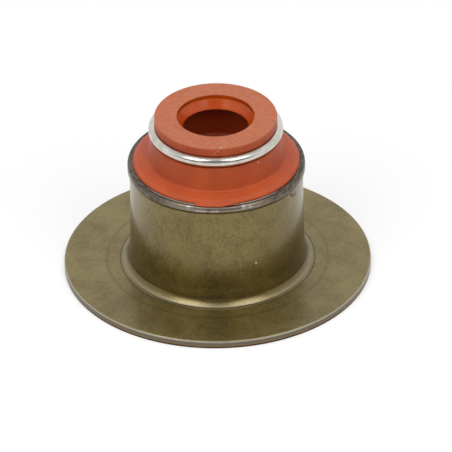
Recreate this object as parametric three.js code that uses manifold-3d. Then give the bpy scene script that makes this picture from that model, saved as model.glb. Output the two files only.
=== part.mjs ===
// Valve stem seal of the top-hat kind, with the spring seat drawn in one piece with the casing.
// Millimetres, +Z up. The origin is the middle of the flange's underside, which rests on the head.
// Every piece is a closed profile turned about Z, so a profile point is [radius, height].

import * as THREE from 'three';
import { mergeVertices } from 'three/addons/utils/BufferGeometryUtils.js';
import Module from 'manifold-3d';

const wasm = await Module();
wasm.setup();

// What the seal fits: the valve stem and the wall of the valve guide round it
const stemRadius = 3.5;
const guideWall = 2.75;

// Casing: sheet steel, drawn with a taper and turned in at the top
const sheet = 0.8;
const flangeRadius = 15.0;
const flangeEdgeRound = 0.15;
const footFillet = 0.42;
const landWidth = 0.23;
const landHeight = 0.14;
const landSlope = 0.22;
const tubeTaper = 0.11;
const flareLength = 2.8;
const beadProud = 0.22;
const beadRound = 0.34;
const beadUndercut = 0.15;
const beadUnderAngle = -38;
const crownHeight = 12.0;
const innerCornerRound = 0.6;

// Rubber: shoulder on the crown and the neck that stands on it
const bondGap = 0.02;
const shoulderSetback = 0.05;
const shoulderBevel = 0.53;
const shoulderRise = 0.36;
const shoulderCone = 0.32;
const neckWall = 2.84;
const neckTaper = 0.36;
const neckHeight = 2.34;
const neckRootRound = 0.25;
const neckRootFrom = 243;
const neckRootTo = 189;

// Rubber: round head above the ring
const headUndercut = 0.39;
const headDraft = 0.02;
const headEdgeRound = 0.15;
const headThickness = 0.93;

// Rubber: bore for the valve stem, read from the mouth down
const mouthClearance = 0.27;
const mouthLand = 0.38;
const lipGrip = 0.32;
const lipCone = 0.9;
const lipUnderside = 0.75;
const reliefClearance = 0.9;
const reliefLength = 1.87;
const gasLipGrip = 0.2;
const gasLipFlank = 0.85;
const gasLipBack = 0.7;
const chamberClearance = 1.1;

// Rubber: sleeve through the crown hole and liner that grips the valve guide
const sleeveWall = 1.4;
const guideStopThickness = 0.8;
const linerClearance = 0.1;
const linerWall = 1.25;
const linerFootLift = 0.4;
const linerFootFlare = 0.7;
const ribGrip = 0.2;
const ribWidth = 0.9;
const ribCount = 3;

// Tension ring: round wire in the groove under the head
const wireRadius = 0.5;
const ringSink = 0.34;
const ringLedge = 0.1;
const ringHeadroom = 0.05;
const ringSplit = 0.3;
const grooveClearance = 0.02;
const grooveFrom = 300;
const grooveTo = 112;

// Roundness of the turned shapes
const turnSteps = 72;
const bendSteps = 4;
const beadSteps = 5;
const cornerSteps = 3;
const edgeSteps = 2;
const grooveSteps = 9;
const wireSteps = 14;
const ribSteps = 4;

// Radii, from the stem outward
const guideRadius = stemRadius + guideWall;
const linerRadius = guideRadius + linerClearance;
const innerWallRadius = linerRadius + linerWall + bondGap;
const tubeRadius = innerWallRadius + sheet;
const footRadius = tubeRadius + tubeTaper;
const innerFootRadius = innerWallRadius + tubeTaper;
const beadRadius = tubeRadius + beadProud;
const chamberRadius = stemRadius + chamberClearance;
const crownHoleRadius = chamberRadius + sleeveWall + bondGap;
const shoulderFootRadius = beadRadius - beadRound - shoulderSetback;
const neckTopRadius = stemRadius + neckWall;
const neckRootRadius = neckTopRadius + neckTaper;
const ringRadius = neckTopRadius - ringSink;
const headLowRadius = neckTopRadius - headUndercut;

// Heights, from the crown up
const crownUnderside = crownHeight - sheet;
const innerWallTop = crownUnderside - innerCornerRound;
const innerBend = footFillet + sheet;
const shoulderEdgeHeight = crownHeight + shoulderRise;
const neckRootHeight = shoulderEdgeHeight + shoulderCone;
const neckTopHeight = neckRootHeight + neckHeight;
const ringHeight = neckTopHeight + ringLedge + wireRadius;
const headLowHeight = ringHeight + wireRadius + ringHeadroom;
const sealHeight = headLowHeight + headThickness;

// Points on an arc about [radius, height], from one angle to another; 0 points outward and 90 up
function arc([centreR, centreZ], radius, fromDeg, toDeg, steps) {
  const points = [];
  for (let i = 0; i <= steps; i += 1) {
    const angle = THREE.MathUtils.degToRad(fromDeg + ((toDeg - fromDeg) * i) / steps);
    points.push([centreR + radius * Math.cos(angle), centreZ + radius * Math.sin(angle)]);
  }
  return points;
}

// A solid of revolution about Z from a closed profile that runs counter-clockwise
function turn(profile) {
  const outline = [...profile, profile[0]].map(([r, z]) => new THREE.Vector2(r, z));
  const geometry = new THREE.LatheGeometry(outline, turnSteps);
  geometry.rotateX(Math.PI / 2);
  return geometry;
}

// Flange: underside, rounded rim, and the coined land beside the foot fillet
function flangeProfile() {
  const rimCentre = flangeRadius - flangeEdgeRound;
  const low = arc([rimCentre, flangeEdgeRound], flangeEdgeRound, -90, 0, edgeSteps);
  const high = arc([rimCentre, sheet - flangeEdgeRound], flangeEdgeRound, 0, 90, edgeSteps);
  const landRadius = footRadius + footFillet + landWidth;
  const land = [[landRadius + landSlope, sheet], [landRadius, sheet + landHeight]];
  return [...low, ...high, ...land];
}

// Outside of the tube: foot fillet, tapered wall, flare and the small bead round the top
function wallProfile() {
  const filletCentre = [footRadius + footFillet, sheet + landHeight + footFillet];
  const fillet = arc(filletCentre, footFillet, 270, 180, bendSteps);
  const waist = [tubeRadius, crownHeight - flareLength];
  const beadCentre = [beadRadius - beadRound, crownHeight - beadRound];
  const bead = arc(beadCentre, beadRound, beadUnderAngle, 90, beadSteps);
  const underBead = [beadRadius - beadUndercut, bead[0][1] - beadUndercut];
  return [...fillet, waist, underBead, ...bead];
}

// Inside of the tube: crown hole, turned-in crown, wall and the bend into the flange
function innerCasingProfile() {
  const hole = [[crownHoleRadius, crownHeight], [crownHoleRadius, crownUnderside]];
  const cornerCentre = [innerWallRadius - innerCornerRound, innerWallTop];
  const corner = arc(cornerCentre, innerCornerRound, 90, 0, cornerSteps);
  const foot = arc([innerFootRadius + innerBend, innerBend], innerBend, 180, 270, bendSteps);
  return [...hole, ...corner, ...foot];
}

function casing() {
  return turn([...flangeProfile(), ...wallProfile(), ...innerCasingProfile()]);
}

// Rubber over the crown: foot of the shoulder, its edge line, and the root of the neck
function shoulderProfile() {
  const foot = [shoulderFootRadius, crownHeight + bondGap];
  const edge = [shoulderFootRadius - shoulderBevel, shoulderEdgeHeight];
  const rootCentre = [neckRootRadius + neckRootRound, neckRootHeight + neckRootRound];
  const root = arc(rootCentre, neckRootRound, neckRootFrom, neckRootTo, cornerSteps);
  return [foot, edge, ...root, [neckTopRadius, neckTopHeight]];
}

// Groove for the ring, open outward between the neck and the head
function grooveProfile() {
  const seat = wireRadius + grooveClearance;
  return arc([ringRadius, ringHeight], seat, grooveFrom, grooveTo, grooveSteps);
}

function headProfile() {
  const edgeCentre = [headLowRadius + headDraft - headEdgeRound, sealHeight - headEdgeRound];
  return [[headLowRadius, headLowHeight], ...arc(edgeCentre, headEdgeRound, 0, 90, edgeSteps)];
}

// Bore from the mouth down: land, oil lip, relief, gas lip and the chamber above the guide
function boreProfile() {
  const landFloor = sealHeight - mouthLand;
  const lipHeight = landFloor - lipCone;
  const reliefTop = lipHeight - lipUnderside;
  const reliefFloor = reliefTop - reliefLength;
  const gasLipHeight = reliefFloor - gasLipFlank;
  const reliefRadius = stemRadius + reliefClearance;
  return [
    [stemRadius + mouthClearance, sealHeight],
    [stemRadius + mouthClearance, landFloor],
    [stemRadius - lipGrip, lipHeight],
    [reliefRadius, reliefTop],
    [reliefRadius, reliefFloor],
    [stemRadius - gasLipGrip, gasLipHeight],
    [chamberRadius, gasLipHeight - gasLipBack],
  ];
}

// One gripping rib on the liner: a low rounded ridge, read from the top down
function ribProfile(middle) {
  const points = [];
  for (let i = 0; i <= ribSteps; i += 1) {
    const along = i / ribSteps;
    const rise = (linerClearance + ribGrip) * Math.sin(Math.PI * along);
    points.push([linerRadius - rise, middle + ribWidth * (0.5 - along)]);
  }
  return points;
}

// Liner: guide stop under the crown, ribs, and a flared foot that leads the guide in
function linerProfile() {
  const stop = crownUnderside - bondGap - guideStopThickness;
  const foot = innerBend + linerFootLift;
  const ribPitch = (stop - foot) / (ribCount + 1);
  const points = [[chamberRadius, stop], [linerRadius, stop]];
  for (let i = 1; i <= ribCount; i += 1) {
    points.push(...ribProfile(stop - i * ribPitch));
  }
  points.push([linerRadius, foot + linerFootFlare]);
  points.push([linerRadius + linerFootFlare, foot]);
  return points;
}

// Bonded side of the rubber: up the casing's inner wall, through the crown hole and over the crown
function bondProfile() {
  const taper = tubeTaper / (innerWallTop - innerBend);
  const foot = [innerFootRadius - taper * linerFootLift - bondGap, innerBend + linerFootLift];
  const cornerCentre = [innerWallRadius - innerCornerRound, innerWallTop];
  const corner = arc(cornerCentre, innerCornerRound - bondGap, 0, 90, cornerSteps);
  const sleeveRadius = crownHoleRadius - bondGap;
  return [foot, ...corner, [sleeveRadius, crownUnderside - bondGap], [sleeveRadius, crownHeight + bondGap]];
}

function rubber() {
  const outside = [...shoulderProfile(), ...grooveProfile(), ...headProfile()];
  const inside = [...boreProfile(), ...linerProfile()];
  return turn([...outside, ...inside, ...bondProfile()]);
}

function toManifold(geometry) {
  const bare = geometry.clone();
  bare.deleteAttribute('normal');
  bare.deleteAttribute('uv');
  const merged = mergeVertices(bare);
  return new wasm.Manifold(new wasm.Mesh({
    numProp: 3,
    vertProperties: new Float32Array(merged.attributes.position.array),
    triVerts: new Uint32Array(merged.index.array),
  }));
}

function toGeometry(solid) {
  const mesh = solid.getMesh();
  const geometry = new THREE.BufferGeometry();
  geometry.setAttribute('position', new THREE.BufferAttribute(mesh.vertProperties, 3));
  geometry.setIndex(new THREE.BufferAttribute(mesh.triVerts, 1));
  geometry.computeVertexNormals();
  return geometry;
}

// The wire is bent round, and its two ends nearly meet at the back
function tensionRing() {
  const section = arc([ringRadius, ringHeight], wireRadius, 0, 360, wireSteps).slice(0, -1);
  const cut = 4 * wireRadius;
  const gap = new THREE.BoxGeometry(ringSplit, cut, cut);
  gap.translate(0, ringRadius, ringHeight);
  return toGeometry(toManifold(turn(section)).subtract(toManifold(gap)));
}

const oliveZinc = new THREE.MeshStandardMaterial({ color: 0x7d6f50, roughness: 0.45, metalness: 0.9 });
const orangeRubber = new THREE.MeshStandardMaterial({ color: 0xa8512f, roughness: 0.6, metalness: 0.0 });
const springSteel = new THREE.MeshStandardMaterial({ color: 0xc9c5bb, roughness: 0.2, metalness: 1.0 });

function piece(name, geometry, material) {
  const mesh = new THREE.Mesh(geometry, material);
  mesh.name = name;
  return mesh;
}

const seal = new THREE.Group();
seal.add(piece('steel_casing', casing(), oliveZinc));
seal.add(piece('rubber_seal', rubber(), orangeRubber));
seal.add(piece('tension_ring', tensionRing(), springSteel));

export default seal;
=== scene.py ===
"""Looks of a valve stem seal: chromated steel casing with its spring seat, orange rubber neck and wire ring.

The shapes are profiles carried round Z. A profile is a closed outline of [radius, height] points in
millimetres, and an azimuth is measured from -Y, the camera's side, towards +X.
"""

import math

import bpy
import numpy as np
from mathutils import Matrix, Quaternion, Vector


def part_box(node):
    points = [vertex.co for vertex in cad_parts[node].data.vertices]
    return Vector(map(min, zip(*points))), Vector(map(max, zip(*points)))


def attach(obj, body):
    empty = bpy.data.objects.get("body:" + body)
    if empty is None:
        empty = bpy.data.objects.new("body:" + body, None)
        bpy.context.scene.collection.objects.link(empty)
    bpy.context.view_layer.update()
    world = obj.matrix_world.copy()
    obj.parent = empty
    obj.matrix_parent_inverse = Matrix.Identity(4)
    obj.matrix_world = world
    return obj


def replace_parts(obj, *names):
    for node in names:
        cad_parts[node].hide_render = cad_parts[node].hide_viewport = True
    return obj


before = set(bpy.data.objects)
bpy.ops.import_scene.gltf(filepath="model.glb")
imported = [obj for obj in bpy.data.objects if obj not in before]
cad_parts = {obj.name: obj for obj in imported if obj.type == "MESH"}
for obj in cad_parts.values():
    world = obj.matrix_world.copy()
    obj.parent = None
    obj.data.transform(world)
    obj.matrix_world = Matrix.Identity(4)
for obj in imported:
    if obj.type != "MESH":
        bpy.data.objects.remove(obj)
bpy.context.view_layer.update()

MM = 0.001

# Driving sizes, read from the frame, in millimetres
casing_high = np.array(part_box("steel_casing")[1]) / MM
rubber_low, rubber_high = (np.array(corner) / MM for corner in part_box("rubber_seal"))
ring_low, ring_high = (np.array(corner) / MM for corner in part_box("tension_ring"))
FLANGE_RADIUS = casing_high[0]
CROWN_HEIGHT = casing_high[2]
SEAL_HEIGHT = rubber_high[2]
SHOULDER_INSET = 0.12
SHOULDER_FOOT_RADIUS = rubber_high[0] - SHOULDER_INSET
LINER_FOOT_HEIGHT = rubber_low[2]
WIRE_SWELL = 0.045
WIRE_RADIUS = (ring_high[2] - ring_low[2]) / 2 + WIRE_SWELL
RING_HEIGHT = (ring_high[2] + ring_low[2]) / 2
RING_RADIUS = ring_high[0] + WIRE_SWELL - WIRE_RADIUS

# Casing, in millimetres
SHEET = 0.8
TUBE_RADIUS = 8.42
TUBE_TAPER = 0.11
FOOT_FLARE_HEIGHT = 2.6
FOOT_BEND_RADIUS = 8.68
FOOT_BEND_HEIGHT = 1.4
CONE_TOP_RADIUS = 8.84
CONE_TOP_HEIGHT = 1.18
CONE_FOOT_RADIUS = 9.18
INNER_FILLET = 1.25
LAND_RADIUS = 9.36
LAND_HEIGHT = 0.84
LAND_SLOPE = 0.14
WAIST_HEIGHT = 9.2
BEAD_RADIUS = 8.64
BEAD_UNDERCUT = 0.15
BEAD_LOW = 11.35
BEAD_ROUND = 0.34
BEAD_SAG = 0.36
CROWN_EDGE_RADIUS = 8.1
CROWN_HOLE_RADIUS = 6.02

# Rubber, in millimetres
BOND_GAP = 0.02
STEM_RADIUS = 3.5
NECK_TOP_RADIUS = 6.34
NECK_ROOT_RADIUS = 6.7
NECK_ROOT_HEIGHT = 12.68
NECK_TOP_HEIGHT = 15.02
SHOULDER_LIP_RADIUS = 8.04
SHOULDER_LIP_HEIGHT = 12.21
SHOULDER_EDGE_RADIUS = 7.78
SHOULDER_EDGE_HEIGHT = 12.35
HEAD_LOW_RADIUS = 5.95
HEAD_TOP_RADIUS = 5.97
HEAD_THICKNESS = 0.93
MOUTH_RADIUS = 3.77
LAND_DEPTH = 0.42
LIP_DEPTH = 1.32
LIP_GRIP = 0.32
RELIEF_RADIUS = 4.4
RELIEF_DEPTH = 2.03
RELIEF_LENGTH = 2.77
GAS_LIP_GRIP = 0.2
GAS_LIP_DEPTH = 5.65
CHAMBER_RADIUS = 4.6
CHAMBER_DEPTH = 6.2
LINER_RADIUS = 6.35
RIB_RADIUS = 6.05
RIB_COUNT = 3
RIB_WIDTH = 0.9
LINER_FLARE = 0.7

# Fineness of the meshes: lengths along the outlines, in millimetres, and counts round the turn
FINE = 0.05
MIDDLE = 0.2
COARSE = 0.8
CASING_ARC_STEPS = 8
RUBBER_ARC_STEPS = 4
CASING_TURN_STEPS = 420
RUBBER_TURN_STEPS = 380
WIRE_STEPS = 40
RING_STEPS = 420
AZIMUTH_DIGITS = 5
ROUNDING_REACH = 0.48
SHORTEST_STEP = 1e-6
SMALLEST_LENGTH = 1e-9

# Waves of the surfaces: the fewest round the turn, and the most that a phase drifts per millimetre
FEWEST_WAVES = 2
WAVE_DRIFT = 1.5


def corner_arcs(point, rounding, arc_steps):
    """Points of the arcs that round the corners, arc_steps + 1 of them for every corner.

    An arc touches both sides of its corner, and takes at most ROUNDING_REACH of the shorter one.
    """
    before, after = np.roll(point, 1, 0) - point, np.roll(point, -1, 0) - point
    reach = np.minimum(np.linalg.norm(before, axis=1), np.linalg.norm(after, axis=1)) * ROUNDING_REACH
    before /= np.linalg.norm(before, axis=1, keepdims=True)
    after /= np.linalg.norm(after, axis=1, keepdims=True)
    half = np.arccos(np.clip((before * after).sum(1), -1, 1)) / 2
    touch = np.minimum(rounding / np.tan(half), reach)
    rounding = touch * np.tan(half)
    middle = before + after
    inward = middle / np.maximum(np.linalg.norm(middle, axis=1, keepdims=True), SMALLEST_LENGTH)
    centre = point + inward * (rounding / np.sin(half))[:, None]
    arm = point + before * touch[:, None] - centre
    turn = -(before[:, 0] * after[:, 1] - before[:, 1] * after[:, 0])
    sweep = (math.pi - 2 * half) * np.sign(turn)
    angle = sweep[:, None] * np.linspace(0, 1, arc_steps + 1)[None, :]
    cos, sin = np.cos(angle), np.sin(angle)
    return np.stack([
        centre[:, :1] + arm[:, :1] * cos - arm[:, 1:] * sin,
        centre[:, 1:] + arm[:, :1] * sin + arm[:, 1:] * cos,
    ], axis=2).reshape(-1, 2)


def rounded(corners, arc_steps):
    """Closed outline through corners [radius, height, rounding, step], read counter-clockwise.

    Each corner becomes the arc of its rounding. The arc and the straight side that follows it are
    divided into equal lengths of at most the corner's step.
    """
    corners = np.array(corners, float)
    arcs = corner_arcs(corners[:, :2], corners[:, 2], arc_steps)
    step = np.repeat(corners[:, 3], arc_steps + 1)
    closed = np.vstack([arcs, arcs[:1]])
    length = np.concatenate([[0], np.cumsum(np.linalg.norm(np.diff(closed, axis=0), axis=1))])
    gap = np.diff(length)
    pieces = np.where(gap > SHORTEST_STEP, np.ceil(gap / step), 0).astype(int)
    start = np.repeat(length[:-1], pieces)
    count = np.arange(pieces.sum()) - np.repeat(np.cumsum(pieces) - pieces, pieces)
    share = count / np.repeat(pieces, pieces)
    at = start + share * np.repeat(gap, pieces)
    return np.stack([np.interp(at, length, closed[:, 0]), np.interp(at, length, closed[:, 1])], axis=1)


def outward(profile):
    """Unit normals of a closed counter-clockwise outline: its tangent, turned a quarter to the right."""
    tangent = np.roll(profile, -1, 0) - np.roll(profile, 1, 0)
    tangent /= np.linalg.norm(tangent, axis=1, keepdims=True)
    return np.stack([tangent[:, 1], -tangent[:, 0]], axis=1)


def place(radius, height, azimuth):
    """Points in metres: x = radius sin(azimuth), y = -radius cos(azimuth), z = height."""
    return np.stack([radius * np.sin(azimuth), -radius * np.cos(azimuth), height], axis=-1) * MM


def place_one(radius, height, degrees):
    """One point in metres, as a plain tuple, from a radius, a height and an azimuth in degrees."""
    return tuple(float(value) for value in place(radius, height, math.radians(degrees)))


def quads(rows, columns, rows_close, columns_close):
    """Corner numbers of the quads on a grid of points, wrapped round where the grid closes."""
    row = np.arange(rows if rows_close else rows - 1)[:, None]
    column = np.arange(columns if columns_close else columns - 1)[None, :]
    next_row, next_column = (row + 1) % rows, (column + 1) % columns
    corners = [row * columns + column, row * columns + next_column,
               next_row * columns + next_column, next_row * columns + column]
    return np.stack(np.broadcast_arrays(*corners), axis=-1).reshape(-1, 4)


def make_piece(name, points, faces, material):
    """A smooth mesh object from points in metres and faces, riding on the frame."""
    mesh = bpy.data.meshes.new(name)
    mesh.from_pydata(points.reshape(-1, 3).tolist(), [], [list(face) for face in faces])
    mesh.polygons.foreach_set("use_smooth", np.ones(len(mesh.polygons), bool))
    mesh.materials.append(material)
    mesh.update()
    piece = bpy.data.objects.new(name, mesh)
    bpy.context.scene.collection.objects.link(piece)
    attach(piece, "root")
    return piece


def hill(offset, width):
    """A smooth hump of height 1: exp(-(offset / width)^2)."""
    return np.exp(-(offset / width) ** 2)


def slope(value, low, high):
    """Smooth rise from 0 at low to 1 at high: 3t^2 - 2t^3, with t cut to 0..1."""
    share = np.clip((value - low) / (high - low), 0, 1)
    return share * share * (3 - 2 * share)


def sector(azimuth, start, stop, soft):
    """1 between two azimuths, 0 outside them, with smooth ends that are soft degrees wide."""
    degrees, half = np.degrees(azimuth), soft / 2
    return slope(degrees, start - half, start + half) * slope(-degrees, -stop - half, -stop + half)


def waves(azimuth, along, seed, count, highest):
    """A gentle uneven surface: count sines of fewer than highest turns, each with its phase and drift."""
    random = np.random.default_rng(seed)
    total = np.zeros(np.broadcast(azimuth, along).shape)
    for turns in random.integers(FEWEST_WAVES, highest, count):
        phase, drift = random.uniform(0, 2 * math.pi), random.uniform(-WAVE_DRIFT, WAVE_DRIFT)
        total = total + np.sin(turns * azimuth + phase + drift * along) / count
    return total


def turned(name, profile, azimuths, relief, material):
    """A profile carried round Z, with every point moved by relief(azimuth, radius, height).

    The relief gives a push along the profile's normal, a shift away from the axis and a lift, all in
    millimetres.
    """
    normal = outward(profile)
    azimuth, radius = np.meshgrid(azimuths, profile[:, 0])
    height = np.repeat(profile[:, 1:], len(azimuths), axis=1)
    push, shift, lift = relief(azimuth, radius, height)
    points = place(radius + push * normal[:, :1] + shift, height + push * normal[:, 1:] + lift, azimuth)
    return make_piece(name, points, quads(len(profile), len(azimuths), True, True), material)


def spaced_azimuths(turn_steps, *packs):
    """Even steps round the turn, and extra steps in packs of (centre, spread, count), in degrees."""
    steps = [np.linspace(-math.pi, math.pi, turn_steps, endpoint=False)]
    for centre, spread, count in packs:
        steps.append(np.radians(np.linspace(centre - spread, centre + spread, count)))
    return np.unique(np.round(np.concatenate(steps), AZIMUTH_DIGITS))


# Casing: shape, with its waves as (seed, count, highest)

CASING_WAVINESS = 0.006
CASING_WAVES = (11, 7, 9)
CHIPS = ((58.1, 10.72), (60.2, 10.48), (63.4, 10.38))
CHIP_DEPTH = 0.08
CHIP_SIZE = 0.13
BURR_RADIUS = 8.22
BURR_LEFT = -57.0
BURR_RIGHT = 50.0
BURR_RISE = 0.06
BURR_WIDTH = 0.045
VALLEY_RADIUS = 8.35
VALLEY_DEPTH = 0.03
BURR_SOFT = 20.0
GAP_START = -14.6
GAP_STOP = 15.5
GAP_DEPTH = 0.07
GAP_SOFT = 0.6

# Extra azimuths of the meshes, as (centre, spread, count) in degrees
CHIP_PACK = (60.7, 4, 30)
GAP_PACKS = ((GAP_START, 1, 8), (GAP_STOP, 1, 8))

# Roundings of the casing's corners, in millimetres
CRISP = 0.04
UNDERSIDE_ROUND = 0.08
RIM_ROUND = 0.17
CONE_ROUND = 0.15
BEND_ROUND = 0.6
FLARE_ROUND = 6.0
WAIST_ROUND = 12.0
BEAD_FOOT_ROUND = 0.08
BEAD_LIP_ROUND = 0.06
BEAD_SIDE_ROUND = 0.1
INNER_ROUND = 0.6


def casing_profile():
    """Flange underside, sheared rim, coined land, foot cone, tapered tube, bead, crown and inside."""
    foot, inner = TUBE_RADIUS + TUBE_TAPER, TUBE_RADIUS - SHEET
    return rounded([
        (foot - SHEET, 0, INNER_FILLET, COARSE),
        (FLANGE_RADIUS, 0, UNDERSIDE_ROUND, MIDDLE),
        (FLANGE_RADIUS, SHEET, RIM_ROUND, COARSE),
        (LAND_RADIUS + LAND_SLOPE, SHEET, CRISP, FINE),
        (LAND_RADIUS, LAND_HEIGHT, CRISP, MIDDLE),
        (CONE_FOOT_RADIUS, LAND_HEIGHT, CONE_ROUND, MIDDLE),
        (CONE_TOP_RADIUS, CONE_TOP_HEIGHT, CONE_ROUND, MIDDLE),
        (FOOT_BEND_RADIUS, FOOT_BEND_HEIGHT, BEND_ROUND, MIDDLE),
        (foot, FOOT_FLARE_HEIGHT, FLARE_ROUND, COARSE),
        (TUBE_RADIUS, WAIST_HEIGHT, WAIST_ROUND, MIDDLE),
        (BEAD_RADIUS - BEAD_UNDERCUT, BEAD_LOW - BEAD_UNDERCUT, BEAD_FOOT_ROUND, FINE),
        (BEAD_RADIUS - BEAD_UNDERCUT / 2, BEAD_LOW, BEAD_LIP_ROUND, FINE),
        (BEAD_RADIUS, BEAD_LOW + BEAD_UNDERCUT, BEAD_SIDE_ROUND, MIDDLE),
        (BEAD_RADIUS, CROWN_HEIGHT, BEAD_ROUND, FINE),
        (CROWN_EDGE_RADIUS, CROWN_HEIGHT, 0, COARSE),
        (CROWN_HOLE_RADIUS, CROWN_HEIGHT, CRISP, COARSE),
        (CROWN_HOLE_RADIUS, CROWN_HEIGHT - SHEET, CRISP, COARSE),
        (inner, CROWN_HEIGHT - SHEET, INNER_ROUND, COARSE),
    ], CASING_ARC_STEPS)


def crown_push(azimuth, radius, height):
    """The crown's burr beside the rubber and the shallow valley outside it, in millimetres.

    Both fade towards the sides and stop at the flattened gap in front.
    """
    gap = sector(azimuth, GAP_START, GAP_STOP, GAP_SOFT)
    burred = sector(azimuth, BURR_LEFT, BURR_RIGHT, BURR_SOFT)
    crown = slope(height, CROWN_HEIGHT - BEAD_ROUND, CROWN_HEIGHT - BEAD_ROUND / 2)
    burr = BURR_RISE * hill(radius - BURR_RADIUS, BURR_WIDTH)
    valley = VALLEY_DEPTH * hill(radius - VALLEY_RADIUS, BURR_WIDTH)
    flat = GAP_DEPTH * slope(radius, CROWN_EDGE_RADIUS, BURR_RADIUS)
    return crown * ((burr - valley) * burred * (1 - gap) - flat * gap)


def casing_relief(azimuth, radius, height):
    """Waviness of drawn sheet, chips under the bead, the crown's burr, and a bead that sinks at the sides."""
    outside = radius > TUBE_RADIUS - SHEET / 2
    push = CASING_WAVINESS * waves(azimuth, height, *CASING_WAVES)
    for degrees, level in CHIPS:
        arc = (azimuth - math.radians(degrees)) * TUBE_RADIUS
        push = push - CHIP_DEPTH * hill(arc, CHIP_SIZE) * hill(height - level, CHIP_SIZE) * outside
    push = push + crown_push(azimuth, radius, height)
    rise = slope(height, BEAD_LOW - 4 * BEAD_UNDERCUT, BEAD_LOW)
    low_edge = rise * slope(-height, -CROWN_HEIGHT, -BEAD_LOW)
    lift = -BEAD_SAG * np.sin(azimuth) ** 2 * low_edge * outside
    return push, 0, lift


# Rubber: shape, with its waves as (seed, count, highest)

RUBBER_WAVINESS = 0.006
RUBBER_WAVES = (5, 8, 8)
TONGUE_STOP = 3.0
TONGUE_REACH = 0.24
TONGUE_DROP = 0.09
TONGUE_ROUND = 0.16
TONGUE_SOFT = 1.0

# Roundings of the rubber's corners, in millimetres
BOND_ROUND = 0.03
BOND_BEND_ROUND = 0.58
SHOULDER_ROUND = 0.12
SHOULDER_EDGE_ROUND = 0.07
NECK_ROOT_ROUND = 0.25
NECK_TOP_ROUND = 0.08
GROOVE_ROUND_SHARE = 0.98
HEAD_ROUND = 0.12
MOUTH_ROUND = 0.04
EDGE_ROUND = 0.05
GAS_LIP_ROUND = 0.06
RELIEF_ROUND = 0.2
CHAMBER_ROUND = 0.15
STOP_ROUND = 0.12
RIB_ROUND = 0.25


def groove_corners():
    """Round-bottomed groove that holds the ring, as a square channel with its corners fully rounded."""
    seat = WIRE_RADIUS + BOND_GAP
    return [(RING_RADIUS - seat, height, seat * GROOVE_ROUND_SHARE, MIDDLE)
            for height in (RING_HEIGHT - seat, RING_HEIGHT + seat)]


def bore_corners():
    """Mouth, land, oil lip, relief, gas lip and chamber, from the top down."""
    top = SEAL_HEIGHT
    return [
        (MOUTH_RADIUS, top, MOUTH_ROUND, MIDDLE),
        (MOUTH_RADIUS, top - LAND_DEPTH, EDGE_ROUND, MIDDLE),
        (STEM_RADIUS - LIP_GRIP, top - LIP_DEPTH, EDGE_ROUND, MIDDLE),
        (RELIEF_RADIUS, top - RELIEF_DEPTH, RELIEF_ROUND, COARSE),
        (RELIEF_RADIUS, top - RELIEF_DEPTH - RELIEF_LENGTH, RELIEF_ROUND, COARSE),
        (STEM_RADIUS - GAS_LIP_GRIP, top - GAS_LIP_DEPTH, GAS_LIP_ROUND, COARSE),
        (CHAMBER_RADIUS, top - CHAMBER_DEPTH, CHAMBER_ROUND, COARSE),
    ]


def liner_corners():
    """Guide stop, gripping ribs and the flared foot, from the top down."""
    stop = CROWN_HEIGHT - SHEET - BOND_GAP - SHEET
    pitch = (stop - LINER_FOOT_HEIGHT) / (RIB_COUNT + 1)
    corners = [(CHAMBER_RADIUS, stop, STOP_ROUND, COARSE), (LINER_RADIUS, stop, RELIEF_ROUND, COARSE)]
    for rib in range(1, RIB_COUNT + 1):
        middle = stop - rib * pitch
        corners.append((LINER_RADIUS, middle + RIB_WIDTH / 2, RELIEF_ROUND, COARSE))
        corners.append((RIB_RADIUS, middle, RIB_ROUND, COARSE))
        corners.append((LINER_RADIUS, middle - RIB_WIDTH / 2, RELIEF_ROUND, COARSE))
    corners.append((LINER_RADIUS, LINER_FOOT_HEIGHT + LINER_FLARE, RELIEF_ROUND, COARSE))
    corners.append((LINER_RADIUS + LINER_FLARE, LINER_FOOT_HEIGHT, CHAMBER_ROUND, COARSE))
    return corners


def rubber_profile():
    """Shoulder, neck, groove and head outside, bore and liner inside, then the bonded side back up."""
    head_low = SEAL_HEIGHT - HEAD_THICKNESS
    inner = TUBE_RADIUS - SHEET - BOND_GAP
    hole = CROWN_HOLE_RADIUS - BOND_GAP
    crown, under = CROWN_HEIGHT + BOND_GAP, CROWN_HEIGHT - SHEET - BOND_GAP
    return rounded([
        (SHOULDER_FOOT_RADIUS, crown, BOND_ROUND, FINE),
        (SHOULDER_LIP_RADIUS, SHOULDER_LIP_HEIGHT, SHOULDER_ROUND, MIDDLE),
        (SHOULDER_EDGE_RADIUS, SHOULDER_EDGE_HEIGHT, SHOULDER_EDGE_ROUND, MIDDLE),
        (NECK_ROOT_RADIUS, NECK_ROOT_HEIGHT, NECK_ROOT_ROUND, MIDDLE),
        (NECK_TOP_RADIUS, NECK_TOP_HEIGHT, NECK_TOP_ROUND, MIDDLE),
        *groove_corners(),
        (HEAD_LOW_RADIUS, head_low, EDGE_ROUND, MIDDLE),
        (HEAD_TOP_RADIUS, SEAL_HEIGHT, HEAD_ROUND, MIDDLE),
        *bore_corners(),
        *liner_corners(),
        (inner + TUBE_TAPER, LINER_FOOT_HEIGHT, EDGE_ROUND, COARSE),
        (inner, under, BOND_BEND_ROUND, COARSE),
        (hole, under, BOND_ROUND, COARSE),
        (hole, crown, BOND_ROUND, MIDDLE),
    ], RUBBER_ARC_STEPS)


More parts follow.
